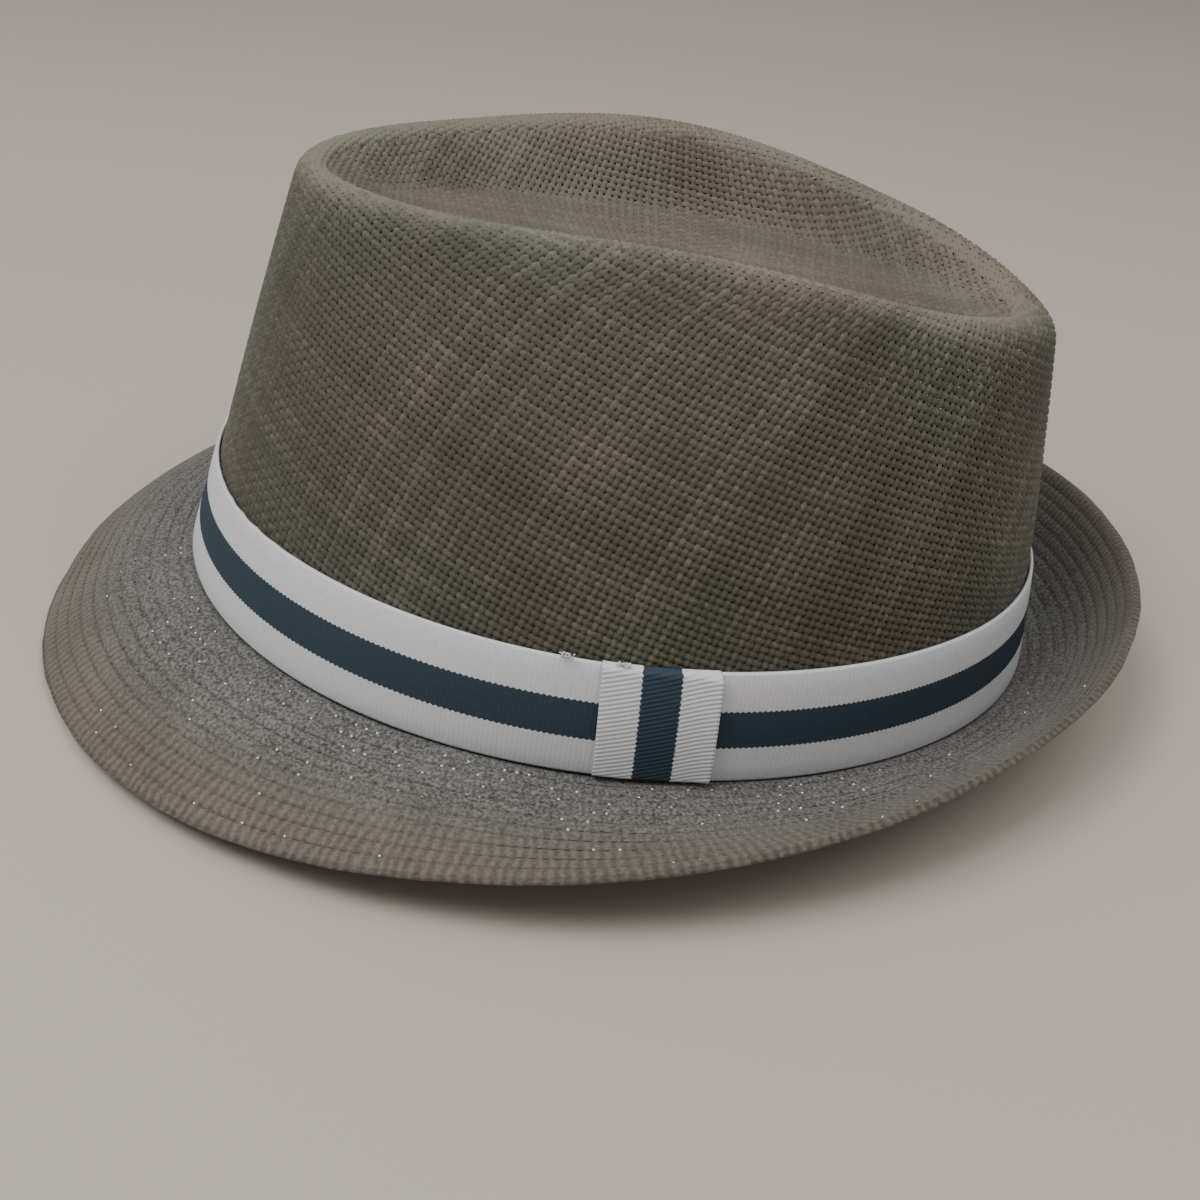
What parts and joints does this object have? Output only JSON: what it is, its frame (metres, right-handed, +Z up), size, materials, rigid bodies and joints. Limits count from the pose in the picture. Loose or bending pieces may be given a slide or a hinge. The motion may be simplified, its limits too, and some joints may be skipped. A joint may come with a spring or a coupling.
{
  "type": "trilby",
  "caption": "Short-brimmed trilby of woven straw with a dished teardrop crown, a brim turned down in front and up behind, and a striped ribbon with a tab.",
  "frame": {"origin": "under the middle of the hat, on the surface that it rests on", "axes": "+Z up, the front of the hat toward -Y, the wearer's left side toward +X; the hat is shown tipped back to the pitch at which it rests on its brim"},
  "size_m": [0.2364, 0.2522, 0.1054],
  "materials": {
    "woven_straw": "taupe paper straw in an open plain weave, dull, with dark gaps between the strands",
    "stitched_straw": "the same straw closed up by rows of stitching 3 mm apart, with a few bright specks",
    "striped_ribbon": "ribbed ribbon in three equal stripes, off-white, navy and off-white"
  },
  "bodies": {
    "root": {"crown_side": "woven_straw", "crown_tip": "woven_straw", "brim": "stitched_straw", "ribbon_band": "striped_ribbon", "ribbon_tab": "striped_ribbon"}
  },
  "joints": []
}
